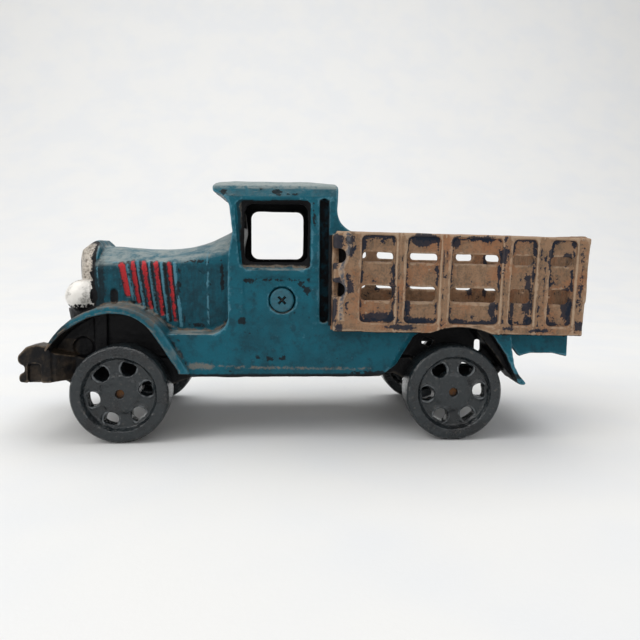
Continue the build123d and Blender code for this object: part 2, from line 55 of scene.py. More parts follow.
# how finely the castings and wheels are remeshed, and how their open sides are felt out
CASTING_VOXEL = 0.42
CASTING_ROUNDING = 6
CASTING_FACES = 190000
WHEEL_VOXEL = 0.28
WHEEL_ROUNDING = 4
WHEEL_FACES = 90000
LONGEST_EDGE = 1.8
CASTING_EDGE_ROUNDS = 10
WHEEL_EDGE_ROUNDS = 8
RAYS = 14
RAY_REACH = 16.0
RAY_START = 0.35
RAY_ROUNDS = 8


# ---------------------------------------------------------------- meshes

def applied(piece):
    """Turns the piece's modifiers into its mesh."""
    graph = bpy.context.evaluated_depsgraph_get()
    mesh = bpy.data.meshes.new_from_object(piece.evaluated_get(graph))
    piece.modifiers.clear()
    piece.data = mesh


def split_long_edges(piece, longest):
    """Splits every edge above the limit, so that values kept at the vertices stay local."""
    work = bmesh.new()
    work.from_mesh(piece.data)
    for _ in range(6):
        long_edges = [edge for edge in work.edges if edge.calc_length() > longest * MM]
        if not long_edges:
            break
        bmesh.ops.subdivide_edges(work, edges=long_edges, cuts=1)
        bmesh.ops.triangulate(work, faces=[face for face in work.faces if len(face.verts) > 3])
    work.to_mesh(piece.data)
    work.free()


def soft_copy(name, node, voxel, rounding, faces):
    """A copy of a CAD node with the rounded edges of a sand casting."""
    piece = bpy.data.objects.new(name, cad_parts[node].data.copy())
    bpy.context.scene.collection.objects.link(piece)
    piece.data.materials.clear()
    remesh = piece.modifiers.new("remesh", "REMESH")
    remesh.mode = "VOXEL"
    remesh.voxel_size = voxel * MM
    smooth = piece.modifiers.new("smooth", "SMOOTH")
    smooth.factor = 0.5
    smooth.iterations = rounding
    applied(piece)
    triangles = sum(len(polygon.vertices) - 2 for polygon in piece.data.polygons)
    if triangles > faces:
        decimate = piece.modifiers.new("decimate", "DECIMATE")
        decimate.ratio = faces / triangles
        applied(piece)
        split_long_edges(piece, LONGEST_EDGE)
    piece.data.shade_smooth()
    return piece


def positions(mesh):
    flat = np.empty(len(mesh.vertices) * 3, np.float32)
    mesh.vertices.foreach_get("co", flat)
    return flat.reshape(-1, 3) / MM


def normals(mesh):
    flat = np.empty(len(mesh.vertices) * 3, np.float32)
    mesh.vertex_normals.foreach_get("vector", flat)
    return flat.reshape(-1, 3)


def place(mesh, points):
    mesh.vertices.foreach_set("co", (points * MM).astype(np.float32).ravel())
    mesh.update()


def keep_values(mesh, name, values):
    attribute = mesh.attributes.new(name, "FLOAT", "POINT")
    attribute.data.foreach_set("value", np.asarray(values, np.float32))


def lumps(points, size, offset):
    """Smooth noise from -1 to 1 at each point, with features of the given size."""
    shifted = points / size + np.array(offset)
    return np.array([noise.noise(point) for point in shifted.tolist()])


def relaxed(values, edges, rounds):
    """Rows of values after each has moved to the middle of its neighbours, round after round."""
    count, width = values.shape
    ends = np.concatenate([edges[:, 0], edges[:, 1]])
    others = np.concatenate([edges[:, 1], edges[:, 0]])
    neighbours = np.maximum(np.bincount(ends, minlength=count), 1)
    for _ in range(rounds):
        moved = [
            np.bincount(ends, weights=values[others, column], minlength=count) / neighbours
            for column in range(width)
        ]
        values = 0.5 * values + 0.5 * np.stack(moved, 1)
    return values


def edges_of(mesh):
    edges = np.empty(len(mesh.edges) * 2, np.int32)
    mesh.edges.foreach_get("vertices", edges)
    return edges.reshape(-1, 2)


def swelling(mesh, rounds):
    """How far each vertex stands out from its smoothed surroundings: edges above 0, creases below."""
    points = positions(mesh).astype(np.float64)
    away = points - relaxed(points, edges_of(mesh), rounds)
    return (away * normals(mesh)).sum(1)


def smoothed(mesh, values, rounds):
    return relaxed(values[:, None], edges_of(mesh), rounds)[:, 0]


def openness(mesh, tree, rays, reach):
    """The share of rays from each vertex that meet nothing within reach."""
    points = positions(mesh)
    outward = normals(mesh)
    turn = math.pi * (3 - math.sqrt(5))
    directions = []
    for number in range(rays):
        height = (number + 0.5) / rays
        ring = math.sqrt(1 - height * height)
        directions.append((ring * math.cos(number * turn), ring * math.sin(number * turn), height))
    free = np.zeros(len(points))
    for vertex, (point, normal) in enumerate(zip(points.tolist(), outward.tolist())):
        normal = Vector(normal)
        start = Vector(point) * MM + normal * RAY_START * MM
        aim = normal.to_track_quat("Z", "Y")
        clear = 0
        for direction in directions:
            if tree.ray_cast(start, aim @ Vector(direction), reach * MM)[0] is None:
                clear += 1
        free[vertex] = clear / rays
    return free


# ---------------------------------------------------------------- distances for paint edges

def stroke_distance(x, z, start, end):
    """Distance from each (x, z) to a straight stroke."""
    dx, dz = end[0] - start[0], end[1] - start[1]
    along = ((x - start[0]) * dx + (z - start[1]) * dz) / (dx * dx + dz * dz)
    along = np.clip(along, 0, 1)
    return np.hypot(x - start[0] - along * dx, z - start[1] - along * dz)


def path_distance(x, z, path):
    return np.min([stroke_distance(x, z, a, b) for a, b in zip(path[:-1], path[1:])], axis=0)


def inside_distance(x, z, outline):
    """Distance to an outline's edge: above 0 inside it and below 0 outside."""
    edge = path_distance(x, z, list(outline) + [outline[0]])
    inside = np.zeros(len(x), bool)
    for (ax, az), (bx, bz) in zip(outline, list(outline[1:]) + [outline[0]]):
        if az == bz:
            continue
        crosses = (az > z) != (bz > z)
        inside ^= crosses & (x < (bx - ax) * (z - az) / (bz - az) + ax)
    return np.where(inside, edge, -edge)


# ---------------------------------------------------------------- node expressions

class Value:
    """A number in a node tree, with arithmetic."""

    def __init__(self, tree, socket):
        self.tree = tree
        self.socket = socket

    def _math(self, operation, other=None, swap=False):
        node = self.tree.nodes.new("ShaderNodeMath")
        node.operation = operation
        slots = (node.inputs[1], node.inputs[0]) if swap else (node.inputs[0], node.inputs[1])
        self.tree.links.new(self.socket, slots[0])
        if isinstance(other, Value):
            self.tree.links.new(other.socket, slots[1])
        elif other is not None:
            slots[1].default_value = other
        return Value(self.tree, node.outputs[0])

    def __add__(self, other):
        return self._math("ADD", other)

    __radd__ = __add__

    def __sub__(self, other):
        return self._math("SUBTRACT", other)

    def __rsub__(self, other):
        return self._math("SUBTRACT", other, swap=True)

    def __mul__(self, other):
        return self._math("MULTIPLY", other)

    def most(self, other):
        return self._math("MAXIMUM", other)

    def rise(self, low, high):
        """0 below low, 1 above high, smooth between."""
        node = self.tree.nodes.new("ShaderNodeMapRange")
        node.interpolation_type = "SMOOTHSTEP"
        self.tree.links.new(self.socket, node.inputs["Value"])
        node.inputs["From Min"].default_value = low
        node.inputs["From Max"].default_value = high
        return Value(self.tree, node.outputs[0])

    def fall(self, low, high):
        return 1 - self.rise(low, high)


class Paint:
    """A material whose colour is laid on coat by coat."""

    def __init__(self, name, base):
        self.material = bpy.data.materials.new(name)
        self.material.use_nodes = True
        self.tree = self.material.node_tree
        self.tree.nodes.clear()
        self.shader = self.tree.nodes.new("ShaderNodeBsdfPrincipled")
        output = self.tree.nodes.new("ShaderNodeOutputMaterial")
        self.tree.links.new(self.shader.outputs[0], output.inputs[0])
        coordinates = self.tree.nodes.new("ShaderNodeTexCoord")
        scale = self.tree.nodes.new("ShaderNodeVectorMath")
        scale.operation = "SCALE"
        scale.inputs["Scale"].default_value = 1 / MM
        self.tree.links.new(coordinates.outputs["Object"], scale.inputs[0])
        self.place = scale.outputs[0]
        parts = self.tree.nodes.new("ShaderNodeSeparateXYZ")
        self.tree.links.new(self.place, parts.inputs[0])
        self.x, self.y, self.z = (Value(self.tree, socket) for socket in parts.outputs)
        self.colour = base

    def value(self, name):
        node = self.tree.nodes.new("ShaderNodeAttribute")
        node.attribute_name = name
        return Value(self.tree, node.outputs["Fac"])

    def noise(self, size, detail=3.0, rough=0.6, stretch=(1, 1, 1), shift=0.0):
        mapping = self.tree.nodes.new("ShaderNodeMapping")
        mapping.inputs["Location"].default_value = (shift, shift * 0.7, -shift)
        mapping.inputs["Scale"].default_value = [1 / (size * axis) for axis in stretch]
        self.tree.links.new(self.place, mapping.inputs[0])
        node = self.tree.nodes.new("ShaderNodeTexNoise")
        node.inputs["Scale"].default_value = 1.0
        node.inputs["Detail"].default_value = detail
        node.inputs["Roughness"].default_value = rough
        self.tree.links.new(mapping.outputs[0], node.inputs["Vector"])
        return Value(self.tree, node.outputs[0])

    def coat(self, colour, cover):
        """Lays a colour where cover is 1."""
        node = self.tree.nodes.new("ShaderNodeMix")
        node.data_type = "RGBA"
        if isinstance(self.colour, tuple):
            node.inputs[6].default_value = (*self.colour, 1)
        else:
            self.tree.links.new(self.colour, node.inputs[6])
        node.inputs[7].default_value = (*colour, 1)
        self.tree.links.new(cover.socket, node.inputs[0])
        self.colour = node.outputs[2]

    def finish(self, roughness, metallic, bumps, specular=0.5):
        """Links the colour and the (height, millimetres) bumps, and gives the finished material."""
        self.tree.links.new(self.colour, self.shader.inputs["Base Color"])
        for name, amount in (("Roughness", roughness), ("Metallic", metallic)):
            if isinstance(amount, Value):
                self.tree.links.new(amount.socket, self.shader.inputs[name])
            else:
                self.shader.inputs[name].default_value = amount
        self.shader.inputs["Specular IOR Level"].default_value = specular
        last = None
        for height, distance in bumps:
            bump = self.tree.nodes.new("ShaderNodeBump")
            bump.inputs["Strength"].default_value = 1.0
            bump.inputs["Distance"].default_value = distance * MM
            self.tree.links.new(height.socket, bump.inputs["Height"])
            if last is not None:
                self.tree.links.new(last, bump.inputs["Normal"])
            last = bump.outputs[0]
        self.tree.links.new(last, self.shader.inputs["Normal"])
        return self.material


# ---------------------------------------------------------------- colours, linear

TEAL = (0.007, 0.100, 0.142)
TEAL_DARK = (0.008, 0.034, 0.048)
TEAL_PALE = (0.080, 0.230, 0.300)
# dust, also laid as a painted highlight along the fender rim and the front's edges
DUST_AND_HIGHLIGHT = (0.270, 0.200, 0.140)
# grey patina, also laid as painted top light on upward faces
PATINA_AND_TOP_LIGHT = (0.270, 0.310, 0.300)
# smoky brown, also laid as a painted highlight on edges of the black
SMOKE = (0.085, 0.075, 0.062)
RUST_BROWN = (0.180, 0.080, 0.030)
BLACK = (0.007, 0.007, 0.008)
BLUE_BLACK = (0.012, 0.019, 0.034)
TAN = (0.290, 0.178, 0.108)
TAN_DARK = (0.120, 0.072, 0.040)
TAN_PALE = (0.430, 0.310, 0.215)
SILVER = (0.900, 0.870, 0.820)
CREAM = (0.430, 0.370, 0.300)
RED = (0.470, 0.030, 0.036)
RED_DARK = (0.060, 0.012, 0.014)
HORN_BROWN = (0.060, 0.044, 0.030)
TAN_RED = (0.330, 0.130, 0.055)
# ash grey, laid as a painted highlight on the bed's corner ridge
RIDGE_HIGHLIGHT_GREY = (0.120, 0.125, 0.140)
WHEEL_GREY = (0.014, 0.019, 0.022)
# grey of worn edges, also laid as a painted highlight
WHEEL_WORN_AND_HIGHLIGHT = (0.170, 0.185, 0.195)
WHEEL_DIRT = (0.110, 0.095, 0.080)
WHEEL_SCRATCH = (0.300, 0.300, 0.300)
AXLE_STEEL = (0.090, 0.070, 0.055)
NUT_STEEL = (0.300, 0.290, 0.270)
FLOOR_PALE = (0.80, 0.80, 0.79)
FLOOR_COOL = (0.77, 0.78, 0.79)


# ---------------------------------------------------------------- materials

class CastingPaint(Paint):
    """The paint of the body halves, with the noises and mesh values that its coats share."""

    def __init__(self):
        super().__init__("worn_casting_paint_and_painted_light", TEAL)
        self.fine = self.noise(0.7, 4)
        self.small = self.noise(1.6, 4, shift=3)
        self.middle = self.noise(4.5, 4, shift=7)
        self.broad = self.noise(15, 3, shift=11)
        self.streaks = self.noise(1.0, 4, stretch=(1.0, 1.0, 7.0), shift=5)
        self.edge = self.value("edge")
        self.crease = 0 - self.edge
        self.free = self.value("free")
        self.up = self.value("up")
        self.fender = self.value("fender").rise(-0.3, 0.3)

    def ragged(self, distance, small=0.0, middle=0.0, fine=0.0):
        """A value, or the mesh value of that name, made uneven by so much of each noise."""
        if isinstance(distance, str):
            distance = self.value(distance)
        for noise_value, share in ((self.small, small), (self.middle, middle), (self.fine, fine)):
            if share:
                distance = distance + (noise_value - 0.5) * share
        return distance


def teal_coats(paint):
    """Teal paint: cloudy, with painted shade on the side of the hood, black undercoat and painted shade in
    creases, and pale worn paint and painted highlight on edges.
    """
    fine, small, middle = paint.fine, paint.small, paint.middle
    paint.coat(TEAL_DARK, paint.broad.rise(0.42, 0.75) * 0.55)
    paint.coat(TEAL_DARK, (middle + small * 0.5).rise(0.70, 0.98) * 0.6)
    # painted shade: the side of the hood is darker
    shade = paint.value("shade").rise(-0.4, 0.8)
    paint.coat(TEAL_DARK, shade * (middle * 0.6 + paint.streaks * 0.5).rise(0.25, 0.75) * 0.85)
    paint.coat(BLACK, paint.ragged("nose", small=3.4, fine=1.6).rise(-0.1, 0.7) * 0.7)
    # painted highlight and wear: paler teal on convex edges
    worn_and_highlit_edge = paint.ragged(paint.edge * 5.0, small=1.8, fine=0.8).rise(0.35, 1.0)
    paint.coat(TEAL_PALE, worn_and_highlit_edge * (1 - paint.fender * 0.6) * 0.66)
    paint.coat(TEAL_PALE, fine.rise(0.60, 0.76) * small.rise(0.40, 0.70) * 0.22)
    # black undercoat and painted shade in creases
    paint.coat(BLACK, paint.ragged(paint.crease * 6.0, small=1.8).rise(0.50, 1.1) * 0.85)


def patina_coats(paint):
    """Grey patina with painted top light on the hood and roof, grey patina on the fender, the fender's
    dark crest, and dust with a painted highlight along its rim.
    """
    fine, small, middle, fender = paint.fine, paint.small, paint.middle, paint.fender
    # grey patina and painted top light: paler on upward faces
    patina_and_top_light = paint.up.rise(0.35, 0.85) * (1 - fender * 0.75)
    paint.coat(PATINA_AND_TOP_LIGHT, patina_and_top_light * (middle + fine * 0.3).rise(0.42, 0.78) * 0.80)
    # grey patina and painted top light along the top of the roof
    roof_rim = paint.value("roof_rim").rise(-0.4, 0.5)
    paint.coat(PATINA_AND_TOP_LIGHT, roof_rim * (small + paint.broad * 0.4).rise(0.45, 0.8) * 0.85)
    paint.coat(PATINA_AND_TOP_LIGHT, fender * (middle + paint.streaks * 0.3).rise(0.62, 0.90) * 0.30)
    front_end = (paint.x * -0.11 + middle * 1.4 - 9.0).rise(0.0, 0.7)
    paint.coat(BLACK, fender * front_end * 0.75)
    crest = paint.ragged("crest", small=1.6).rise(-0.2, 0.4)
    paint.coat(SMOKE, crest * (fine * 0.4 + small).rise(0.40, 0.75) * 0.6)
    # dust and painted highlight: a pale line along the fender's arch rim
    paint.coat(DUST_AND_HIGHLIGHT, (paint.ragged("rim", small=0.7) - 0.1).rise(0.0, 0.25) * 0.6)


def louvre_coats(paint):
    """Painted shadow in the louvre gaps and the side hole, painted highlight on the ribs and the raised
    lines, and red strokes on the side of the hood.
    """
    # painted shadow: black in the louvre gaps and the side hole
    paint.coat(BLACK, paint.ragged("gap_shadow", small=0.9).rise(-0.3, 0.2) * 0.95)
    # painted highlight: pale teal on the louvre ribs
    paint.coat(TEAL_PALE, paint.ragged("rib", small=1.2, fine=1.6).rise(0.1, 0.7) * 0.75)
    # painted highlight: pale teal on the raised lines
    paint.coat(TEAL_PALE, paint.ragged("line", fine=0.9).rise(-0.15, 0.3) * 0.42)
    paint.coat(RED_DARK, paint.ragged("red", small=0.9).rise(-0.35, 0.0) * 0.7)
    red = (paint.ragged("red", small=2.0, fine=1.0) - 0.12).rise(-0.12, 0.30)
    paint.coat(RED, red * (paint.fine + paint.middle * 0.5).rise(0.46, 0.70))


def wear_coats(paint):
    """Brown dirt along lower edges, and chips and specks down to the black undercoat."""
    paint.coat(DUST_AND_HIGHLIGHT, paint.ragged("dirt", small=2.2, fine=1.0).rise(-0.1, 0.8) * 0.5)
    paint.coat(BLACK, paint.ragged("bottom", small=0.9).rise(-0.15, 0.25) * 0.85)
    paint.coat(BLACK, paint.ragged("chips", small=2.4, fine=1.2).rise(0.0, 0.25) * 0.88)
    specks = paint.noise(1.1, 2, shift=17).rise(0.70, 0.74)
    paint.coat(BLACK, specks * paint.broad.rise(0.50, 0.62) * 0.7)


def window_coats(paint):
    """The window surround: dark teal and smoky brown, black by the opening and in its reveal."""
    surround = paint.ragged("window", small=0.6).rise(-0.15, 0.15)
    paint.coat(TEAL_DARK, surround * 0.9)
    smoky = paint.ragged("window", small=1.2, middle=2.6).rise(0.5, 1.2)
    paint.coat(SMOKE, surround * smoky * 0.9)
    paint.coat(PATINA_AND_TOP_LIGHT, surround * smoky * (paint.streaks + paint.fine * 0.4).rise(0.66, 0.92) * 0.55)
    paint.coat(DUST_AND_HIGHLIGHT, surround * paint.z.fall(60.4, 61.6) * paint.small.rise(0.30, 0.55) * 0.6)
    opening = paint.ragged("opening", small=0.9, middle=2.2).rise(-1.6, -0.9)
    paint.coat(BLACK, surround * opening)
    paint.coat(BLACK, surround * paint.value("reveal").rise(0.25, 0.6))
    return surround


def silver_coats(paint):
    """Silver radiator shell and headlights, black round their edges."""
    fine, small, middle = paint.fine, paint.small, paint.middle
    silver = paint.ragged("silver", small=2.8, middle=2.4, fine=1.2).rise(0.20, 0.42)
    paint.coat(BLACK, paint.ragged("silver", small=1.2).rise(-1.3, -0.9))
    paint.coat(SILVER, silver)
    shell = silver * paint.z.rise(53.5, 55.5)
    paint.coat(CREAM, shell * (fine * 0.4 + small).rise(0.35, 0.62) * 0.8)
    paint.coat(SMOKE, shell * (fine + small * 0.6).rise(0.74, 0.98) * 0.75)
    paint.coat(SMOKE, silver * (middle + fine * 0.3).rise(0.64, 0.86) * 0.7)
    return silver


def bed_coats(paint):
    """Tan stake bed: pale worn paint and painted highlight on its edges and post fronts, blue-black
    undercoat and painted shade in its corners, an ash-grey painted highlight on the ridge beside the cab,
    and black undercoat and painted shade where it is enclosed.
    """
    fine, small, middle = paint.fine, paint.small, paint.middle
    bed = paint.value("bed").rise(-0.15, 0.15)
    paint.coat(TAN, bed)
    paint.coat(TAN_DARK, bed * (middle * 0.6 + paint.streaks * 0.5).rise(0.42, 0.85) * 0.8)
    paint.coat(TAN_RED, bed * (paint.broad + small * 0.3).rise(0.62, 0.82) * 0.5)
    paint.coat(SMOKE, bed * (fine + middle * 0.5).rise(0.70, 0.92) * 0.55)
    # painted highlight and wear: paler tan on convex edges
    worn_and_highlit_edge = paint.ragged(paint.edge * 5.5, small=2.0, fine=1.0)
    paint.coat(TAN_PALE, bed * worn_and_highlit_edge.rise(0.45, 1.1) * 0.7)
    # painted highlight: a pale line down the front edge of each post
    paint.coat(TAN_PALE, bed * paint.ragged("post_highlight_line", small=2.0).rise(0.0, 0.5) * 0.45)
    paint.coat(TAN_PALE, bed * fine.rise(0.60, 0.74) * 0.30)
    # blue-black undercoat and painted shade in creases and enclosed corners
    corners = paint.ragged(paint.crease * 5.5, middle=2.8, fine=1.6) + (0.5 - paint.free) * 0.3
    paint.coat(BLUE_BLACK, bed * corners.rise(0.42, 0.62) * 0.93)
    bruised = paint.ragged("bruise", small=1.6, middle=2.4, fine=1.6)
    paint.coat(BLUE_BLACK, bed * bruised.rise(-0.15, 0.15) * 0.9)
    # painted highlight: ash grey along the ridge beside the cab
    ridge = paint.ragged("ridge", small=1.4).rise(-0.1, 0.5)
    paint.coat(RIDGE_HIGHLIGHT_GREY, bed * ridge * (fine * 0.5 + small).rise(0.50, 0.80) * 0.8)
    # black undercoat and painted shade where the bed is enclosed
    paint.coat(BLACK, bed * paint.free.fall(0.12, 0.40) * 0.75)
    return bed


def undercoat_coats(paint, bed):
    """Black undercoat in the wells, below the frame and inside, with painted shade where it is enclosed
    and a painted highlight on its edges, and the bare brown front, browner on its top faces as painted top
    light, with a painted highlight on its edges.
    """
    middle = paint.middle
    dark = paint.ragged("dark", small=0.8).rise(-0.25, 0.25)
    # black undercoat and painted shade where rays find the surface enclosed
    enclosed_black_and_shade = paint.free.fall(0.10, 0.30) * (1 - bed)
    paint.coat(BLACK, dark.most(enclosed_black_and_shade))
    # painted highlight and wear: smoky brown on convex edges of the black
    paint.coat(SMOKE, dark * paint.ragged(paint.edge * 5.0, small=1.6).rise(0.5, 1.2) * 0.45)
    groove = paint.value("groove").rise(-0.2, 0.2)
    paint.coat(TEAL_DARK, groove * (middle + paint.small * 0.4).rise(0.66, 0.86) * 0.9)
    front = paint.ragged("front", small=0.8).rise(-0.3, 0.4)
    # bare brown front, more on upward faces as painted top light
    paint.coat(HORN_BROWN, front * (middle + paint.up * 0.35).rise(0.35, 0.75) * 0.9)
    # painted highlight: pale brown on the front's convex edges
    paint.coat(DUST_AND_HIGHLIGHT, front * paint.ragged(paint.edge * 5.0, small=1.5).rise(0.6, 1.3) * 0.4)
    return groove


def casting_paint():
    """Every colour of the two body halves, told apart by the distances kept in their meshes."""
    paint = CastingPaint()
    teal_coats(paint)
    patina_coats(paint)
    louvre_coats(paint)
    wear_coats(paint)
    surround = window_coats(paint)
    silver = silver_coats(paint)
    bed = bed_coats(paint)
    groove = undercoat_coats(paint, bed)
    roughness = 0.34 + bed * 0.24 + paint.small * 0.14 - silver * 0.06
    roughness = roughness + surround * 0.30 + groove * 0.55
    grain = paint.fine * 0.5 + paint.small
    return paint.finish(roughness, silver * 0.1, [(grain, 0.26), (paint.middle, 0.40)], specular=0.14)


def wheel_paint():
    """Glossy blackish paint, greyer on worn edges with a painted highlight, painted shade in creases, with
    dirt and a few scratches.
    """
    paint = Paint("worn_wheel_paint_and_painted_light", BLACK)
    fine = paint.noise(0.6, 4)
    small = paint.noise(1.8, 4, shift=4)
    broad = paint.noise(9, 3, shift=9)
    edge = paint.value("edge")
    paint.coat(WHEEL_GREY, (broad + small * 0.3).rise(0.35, 0.75))
    # painted highlight and wear: grey on convex edges
    paint.coat(WHEEL_WORN_AND_HIGHLIGHT, (edge * 7.0 + (small - 0.5) * 1.8).rise(0.45, 1.3) * 0.60)
    # painted shade: black in creases
    paint.coat(BLACK, (edge * -6.0 + (small - 0.5) * 1.2).rise(0.5, 1.1) * 0.9)
    paint.coat(WHEEL_DIRT, (small + fine * 0.4).rise(0.78, 0.98) * 0.45)
    paint.coat(WHEEL_SCRATCH, paint.noise(0.9, 2, shift=15).rise(0.75, 0.78) * 0.5)
    grain = fine * 0.5 + small
    waves = paint.noise(3.5, 2, shift=19)
    return paint.finish(0.08 + small * 0.22, 0.0, [(grain, 0.20), (waves, 0.55)])


def screw_paint():
    """The screw was painted over with the door: teal, with painted shade in the recess."""
    paint = Paint("painted_over_screw", TEAL)
    small = paint.noise(1.2, 4, shift=2)
    outer_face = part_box("cab_screw")[0].y / MM
    depth = paint.y - outer_face
    paint.coat(TEAL_DARK, small.rise(0.40, 0.75) * 0.6)
    # painted shade: black in the cross recess
    paint.coat(BLACK, depth.rise(0.35, 0.75))
    paint.coat(TEAL_PALE, small.rise(0.62, 0.80) * depth.fall(0.0, 0.3) * 0.4)
    return paint.finish(0.36 + small * 0.15, 0.0, [(small, 0.12)])


def steel_paint(name, base, rust_share):
    """Bare steel with rust at its ends and in patches."""
    paint = Paint(name, base)
    fine = paint.noise(0.5, 4)
    small = paint.noise(1.5, 4, shift=6)
    paint.coat(RUST_BROWN, (small + fine * 0.3).rise(0.75 - rust_share, 0.95 - rust_share))
    paint.coat(BLACK, fine.rise(0.60, 0.80) * 0.6)
    return paint.finish(0.45 + small * 0.3, 0.7, [(fine, 0.08)])


# ---------------------------------------------------------------- castings

FRONT_ARCH = (
    (-86.4, 31.4), (-82.6, 36.2), (-78.0, 39.5), (-72.0, 42.8), (-65.5, 44.2), (-60.0, 43.6),
    (-55.4, 41.4), (-50.6, 37.0), (-42.3, 24.2), (-42.3, 0.0), (-86.4, 0.0),
)
REAR_ARCH = (
    (33.6, 24.6), (39.6, 35.4), (46.0, 38.5), (53.2, 39.9), (60.5, 38.8), (66.9, 36.7),
    (71.9, 29.8), (76.4, 20.2), (76.4, 0.0), (33.6, 0.0),
)
WINDOW_SURROUND = (
    (-22.2, 81.6), (-20.4, 60.6), (-19.6, 59.6), (2.4, 59.6), (3.2, 60.4), (3.2, 81.8),
    (2.2, 82.8), (-21.2, 82.8),
)
WINDOW_OPENING = ((-19.5, 61.5), (2.5, 61.5), (2.5, 81.5), (-19.5, 81.5))
LOUVRE_STROKES = (
    ((-63.4, 59.9), (-61.5, 49.6), 1.25),
    ((-59.8, 61.0), (-57.6, 47.0), 0.85),
    ((-55.7, 61.0), (-53.3, 44.8), 0.85),
    ((-51.3, 60.9), (-49.2, 42.6), 0.85),
    ((-46.5, 60.6), (-44.6, 40.6), 0.80),
)
RIB_SHIFT = 2.05
GAP_SHIFT = -1.6
SIDE_HOLE = (-66.5, 48.8)
SIDE_HOLE_HALF_SIZE = (1.5, 2.9)
# raised lines that carry a painted highlight
RIDGE_HIGHLIGHT_LINES = (
    ((-75.9, 60.0), (-75.3, 50.0), 0.35), ((-72.6, 59.5), (-72.2, 52.0), 0.30),
    ((-32.9, 64.5), (-32.7, 38.8), 0.40), ((-66.8, 60.8), (-63.9, 60.9), 0.30),
)
FENDER_CREST = (
    (-76.0, 43.4), (-70.0, 46.2), (-62.0, 46.8), (-54.0, 44.8), (-47.5, 39.3), (-43.0, 36.9),
)
CORNER_RIDGE = (
    (15.1, 71.0), (15.7, 67.5), (14.7, 63.8), (13.1, 59.6), (13.7, 56.0), (14.5, 53.0),
    (13.3, 48.6), (13.1, 43.0),
)
CHIPS = (
    (-18.0, 55.1, 1.7, 0.9), (-8.0, 55.5, 6.0, 0.45), (0.2, 54.0, 1.4, 1.0), (2.2, 51.8, 1.3, 1.7),
    (-20.3, 41.3, 1.8, 1.5), (-15.0, 28.5, 1.1, 0.7), (-10.8, 28.1, 1.5, 1.0), (-6.2, 28.2, 1.3, 0.9),
    (-8.5, 85.6, 1.9, 1.0), (-4.0, 84.8, 2.8, 0.4), (-26.8, 85.6, 1.4, 1.0), (26.0, 22.9, 7.0, 0.8),
    (4.4, 77.0, 0.6, 3.4), (-37.0, 39.0, 4.0, 0.7), (-43.2, 52.0, 0.7, 3.4), (-27.6, 56.0, 0.7, 6.0),
    (-36.0, 61.6, 4.0, 0.6), (83.5, 36.6, 2.6, 1.2), (95.0, 36.5, 1.4, 1.6),
)
BED_BRUISES = (
    (41.0, 69.4, 4.8, 2.2), (30.7, 53.4, 0.9, 4.5), (25.5, 43.4, 5.5, 1.5), (36.0, 49.0, 1.0, 7.0),
    (40.4, 42.2, 4.6, 0.9), (65.6, 46.0, 1.1, 5.0), (51.6, 68.8, 1.8, 2.4), (59.5, 70.0, 4.5, 0.9),
    (77.4, 50.0, 1.5, 9.0), (72.2, 46.0, 0.9, 6.0), (68.4, 65.0, 0.8, 5.0), (84.6, 64.0, 1.0, 5.0),
    (90.6, 63.2, 1.8, 2.2), (90.9, 47.5, 1.6, 6.0), (84.8, 46.4, 1.1, 3.0), (95.4, 55.0, 0.5, 14.0),
    (15.8, 69.0, 1.6, 1.5), (16.0, 65.5, 1.2, 1.7), (16.2, 53.8, 1.2, 2.6), (12.6, 40.0, 1.2, 1.3),
    (11.4, 67.8, 2.2, 3.0), (11.6, 54.0, 2.3, 3.0), (10.9, 61.5, 1.0, 2.2), (10.9, 46.5, 1.0, 4.5),
    (33.5, 40.0, 4.5, 0.8), (70.0, 39.3, 3.0, 0.8), (82.0, 38.8, 3.0, 0.6), (96.0, 40.0, 1.8, 1.8),
)
DIRT_LINES = (
    (((-38.5, 25.4), (-24.0, 25.2), (0.0, 24.6), (24.0, 24.4)), 0.6),
    (((-38.2, 25.6), (-31.5, 25.2)), 1.3),
    (FENDER_CREST, 0.55),
    (((-43.0, 37.4), (-31.0, 37.0), (-26.6, 39.6)), 0.7),
)
LAMP_PLACE = (-79.0, 14.6, 48.8)
LAMP_RADIUS = 5.9
LAMP_FACE = (-78.2, 48.3)
LAMP_FACE_RADIUS = 4.6
AXLES = ((-61.5, 16.8), (53.2, 16.8))
HOLE_CIRCLE = 9.3
HOLE_LIP_RADIUS = 3.0
POST_FRONTS = (13.0, 31.0, 46.1, 67.2, 79.1, 92.8)
POST_BACKS = (19.4, 34.7, 49.9, 70.7, 84.0, 97.0)


def patches(x, z, spots):
    """Above 0 inside any of the (x, z, half width, half height) spots, in millimetres."""
    reach = [
        (1 - np.hypot((x - sx) / width, (z - sz) / height)) * min(width, height)
        for sx, sz, width, height in spots
    ]
    return np.max(reach, axis=0)


class Half:
    """A body half's vertices before they are moved, with the marks that relief and paint share."""

    def __init__(self, mesh):
        self.points = positions(mesh).astype(np.float64)
        self.outward = normals(mesh)
        x, y, z = self.points.T
        self.x, self.z, self.side = x, z, np.abs(y)
        self.facing_out = np.clip(self.outward[:, 1] * np.sign(y), 0, 1)
        self.on_hood = np.minimum(self.side - 14.0, 25.0 - self.side)
        self.on_side = np.clip(self.side - 35.0, 0, 1) * self.facing_out
        self.on_post = self.on_side * np.clip(x - 22.0, 0, 1)
        ribs = [
            stroke_distance(x - RIB_SHIFT, z, a, (b[0] + 0.2, b[1] - 2.0))
            for a, b, _ in LOUVRE_STROKES
        ]
        self.rib = np.min(ribs, axis=0)
        self.ridge = path_distance(x, z, CORNER_RIDGE)
        self.post_edge = np.min([np.abs(x - front - 0.5) for front in POST_FRONTS], axis=0)
        lines = [width - stroke_distance(x, z, a, b) for a, b, width in RIDGE_HIGHLIGHT_LINES]
        self.line = np.max(lines, axis=0)


def rounded(distance, half_width):
    """The height of a round-topped ridge, from 1 on its line to 0 at half its width."""
    return np.clip(1 - (distance / half_width) ** 2, 0, 1)


